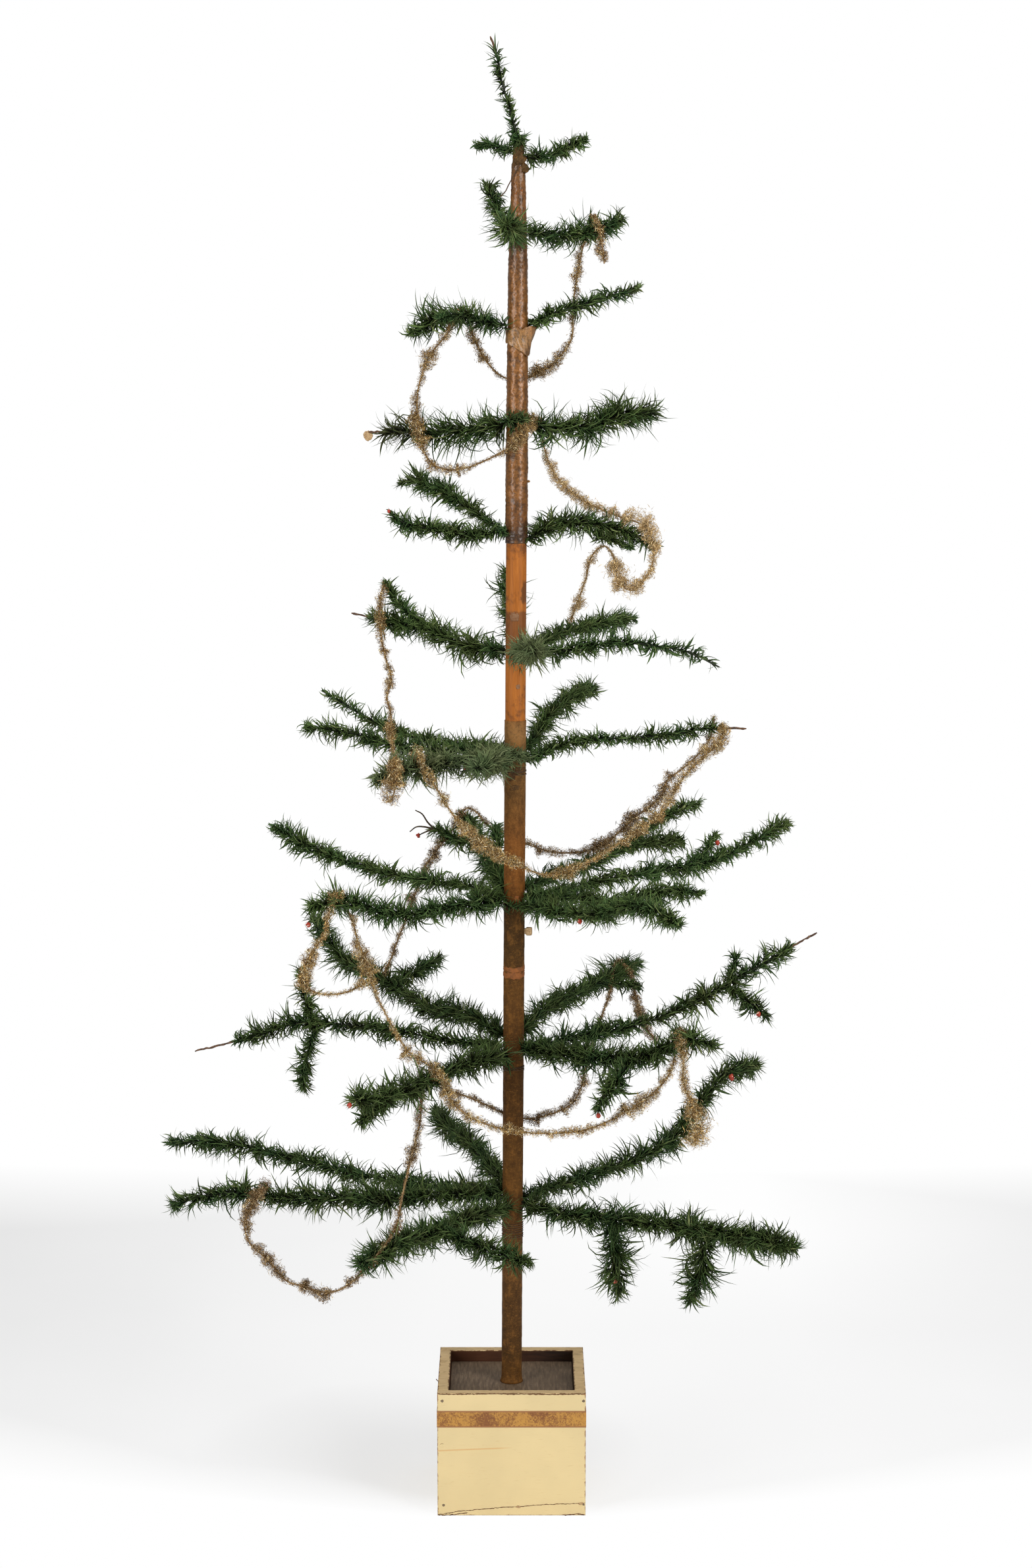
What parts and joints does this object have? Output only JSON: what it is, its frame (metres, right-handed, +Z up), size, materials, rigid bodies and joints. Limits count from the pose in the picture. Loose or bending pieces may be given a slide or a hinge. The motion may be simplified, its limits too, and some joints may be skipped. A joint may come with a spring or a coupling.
{
  "type": "feather christmas tree",
  "caption": "Feather-wound wire Christmas tree with tiered branches and tinsel on a dowel trunk that lifts out of a square painted box base.",
  "frame": {"origin": "centre of the box's underside, on the floor", "axes": "+Z up along the trunk, -Y toward the front of the box, +X to the right as seen from the front"},
  "size_m": [0.6917, 0.4953, 1.4963],
  "materials": {
    "paint": "aged cream paint on wood, worn to brown at the edges",
    "inner_wood": "dark stained raw wood",
    "band": "brown printed paper band with gold flecks",
    "dowel": "bare orange-brown wood",
    "wrap": "wrinkled brown paper, glossy above and matte below",
    "feather": "dyed green feather barbs wound on wire",
    "tinsel": "crimped gold-brown metal foil"
  },
  "bodies": {
    "base": {"front_board": "paint", "back_board": "paint", "left_board": "paint", "right_board": "paint", "bottom_board": "inner_wood", "platform_board": "inner_wood", "border_band": "band"},
    "trunk": {"trunk_dowel": "dowel", "upper_wrap": "wrap", "lower_wrap": "wrap", "tier2_back_left": "feather", "tier2_right": "feather", "tier3_left": "feather", "tier3_right": "feather", "tier4_left": "feather", "tier4_right": "feather", "tier5_right": "feather", "tier6_left": "feather", "tier6_back_right": "feather", "tier7_left": "feather", "tier7_front_left": "feather", "tier7_right": "feather", "tier8_front_left": "feather", "tier8_back": "feather", "tier8_back_right": "feather", "tier9_back_left": "feather", "tier9_front_left": "feather", "tier9_back_right": "feather", "tier9_front_right": "feather", "tier10_left": "feather", "tier10_front_left": "feather", "leader": "feather", "tinsel_upper": "tinsel", "tinsel_left": "tinsel", "tinsel_middle": "tinsel", "tinsel_behind": "tinsel", "tinsel_front": "tinsel", "tinsel_cross": "tinsel", "tinsel_lower": "tinsel"},
    "tier1_left": {"tier1_left": "feather"},
    "tier1_right": {"tier1_right": "feather"},
    "tier2_front": {"tier2_front": "feather"},
    "tier5_back_left": {"tier5_back_left": "feather"},
    "tier5_front_left": {"tier5_front_left": "feather"},
    "tier6_back": {"tier6_back": "feather"},
    "tier6_front": {"tier6_front": "feather"},
    "tier6_right": {"tier6_right": "feather"},
    "tier7_back_left": {"tier7_back_left": "feather"},
    "tier7_front": {"tier7_front": "feather"},
    "tier7_back_right": {"tier7_back_right": "feather"},
    "tier8_left": {"tier8_left": "feather"},
    "tier8_right": {"tier8_right": "feather"},
    "tier8_front_right": {"tier8_front_right": "feather"},
    "tier8_front": {"tier8_front": "feather"},
    "tier9_left": {"tier9_left": "feather"},
    "tier9_right": {"tier9_right": "feather"},
    "tier10_back_left": {"tier10_back_left": "feather"},
    "tier10_back": {"tier10_back": "feather"},
    "tier10_back_right": {"tier10_back_right": "feather"},
    "tier10_right": {"tier10_right": "feather"}
  },
  "joints": [
    {"name": "trunk_lift", "type": "slide", "parent": "base", "child": "trunk", "axis": [0, 0, 1], "range_m": [0, 0.112]},
    {"name": "tier1_left_fold", "type": "hinge", "parent": "trunk", "child": "tier1_left", "pos_m": [-0.00003, 0.00101, 1.385], "axis": [0.1392, 0.9903, 0], "range_deg": [0, 35]},
    {"name": "tier1_right_fold", "type": "hinge", "parent": "trunk", "child": "tier1_right", "pos_m": [0.01453, -0.00104, 1.379], "axis": [-0.1392, -0.9903, 0], "range_deg": [0, 55]},
    {"name": "tier2_front_fold", "type": "hinge", "parent": "trunk", "child": "tier2_front", "pos_m": [0.00527, -0.01041, 1.305], "axis": [-0.9903, 0.1392, 0], "range_deg": [0, 60]},
    {"name": "tier5_back_left_fold", "type": "hinge", "parent": "trunk", "child": "tier5_back_left", "pos_m": [-0.00631, 0.00655, 1.006], "axis": [0.5, 0.866, 0], "range_deg": [0, 30]},
    {"name": "tier5_front_left_fold", "type": "hinge", "parent": "trunk", "child": "tier5_front_left", "pos_m": [-0.00652, -0.00615, 1.009], "axis": [-0.4695, 0.8829, 0], "range_deg": [0, 30]},
    {"name": "tier6_back_fold", "type": "hinge", "parent": "trunk", "child": "tier6_back", "pos_m": [0.00291, 0.01211, 0.893], "axis": [0.9925, 0.1219, 0], "range_deg": [0, 25]},
    {"name": "tier6_front_fold", "type": "hinge", "parent": "trunk", "child": "tier6_front", "pos_m": [0.00669, -0.01198, 0.887], "axis": [-0.9816, -0.1908, 0], "range_deg": [0, 60]},
    {"name": "tier6_right_fold", "type": "hinge", "parent": "trunk", "child": "tier6_right", "pos_m": [0.0162, -0.00295, 0.887], "axis": [-0.2419, -0.9703, 0], "range_deg": [0, 15]},
    {"name": "tier7_back_left_fold", "type": "hinge", "parent": "trunk", "child": "tier7_back_left", "pos_m": [-0.00749, 0.00651, 0.786], "axis": [0.5, 0.866, 0], "range_deg": [0, 30]},
    {"name": "tier7_front_fold", "type": "hinge", "parent": "trunk", "child": "tier7_front", "pos_m": [-0.00049, -0.0123, 0.7785], "axis": [-0.9455, 0.3256, 0], "range_deg": [0, 60]},
    {"name": "tier7_back_right_fold", "type": "hinge", "parent": "trunk", "child": "tier7_back_right", "pos_m": [0.01029, 0.01127, 0.786], "axis": [0.866, -0.5, 0], "range_deg": [0, 25]},
    {"name": "tier8_left_fold", "type": "hinge", "parent": "trunk", "child": "tier8_left", "pos_m": [-0.00892, 0.00478, 0.632], "axis": [0.3746, 0.9272, 0], "range_deg": [0, 28]},
    {"name": "tier8_right_fold", "type": "hinge", "parent": "trunk", "child": "tier8_right", "pos_m": [0.01548, 0.00222, 0.632], "axis": [0.1736, -0.9848, 0], "range_deg": [0, 15]},
    {"name": "tier8_front_right_fold", "type": "hinge", "parent": "trunk", "child": "tier8_front_right", "pos_m": [0.01418, -0.00599, 0.632], "axis": [-0.4695, -0.8829, 0], "range_deg": [0, 12]},
    {"name": "tier8_front_fold", "type": "hinge", "parent": "trunk", "child": "tier8_front", "pos_m": [0.01037, -0.01031, 0.626], "axis": [-0.809, -0.5878, 0], "range_deg": [0, 12]},
    {"name": "tier9_left_fold", "type": "hinge", "parent": "trunk", "child": "tier9_left", "pos_m": [-0.01063, 0.00044, 0.476], "axis": [0.0349, 0.9994, 0], "range_deg": [0, 45]},
    {"name": "tier9_right_fold", "type": "hinge", "parent": "trunk", "child": "tier9_right", "pos_m": [0.01462, 0.00132, 0.476], "axis": [0.1045, -0.9945, 0], "range_deg": [0, 15]},
    {"name": "tier10_back_left_fold", "type": "hinge", "parent": "trunk", "child": "tier10_back_left", "pos_m": [-0.01087, 0.00368, 0.322], "axis": [0.2924, 0.9563, 0], "range_deg": [0, 40]},
    {"name": "tier10_back_fold", "type": "hinge", "parent": "trunk", "child": "tier10_back", "pos_m": [-0.00356, 0.01166, 0.322], "axis": [0.9272, 0.3746, 0], "range_deg": [0, 45]},
    {"name": "tier10_back_right_fold", "type": "hinge", "parent": "trunk", "child": "tier10_back_right", "pos_m": [0.01103, 0.00774, 0.316], "axis": [0.6157, -0.788, 0], "range_deg": [0, 20]},
    {"name": "tier10_right_fold", "type": "hinge", "parent": "trunk", "child": "tier10_right", "pos_m": [0.0122, -0.0059, 0.313], "axis": [-0.4695, -0.8829, 0], "range_deg": [0, 45]}
  ]
}
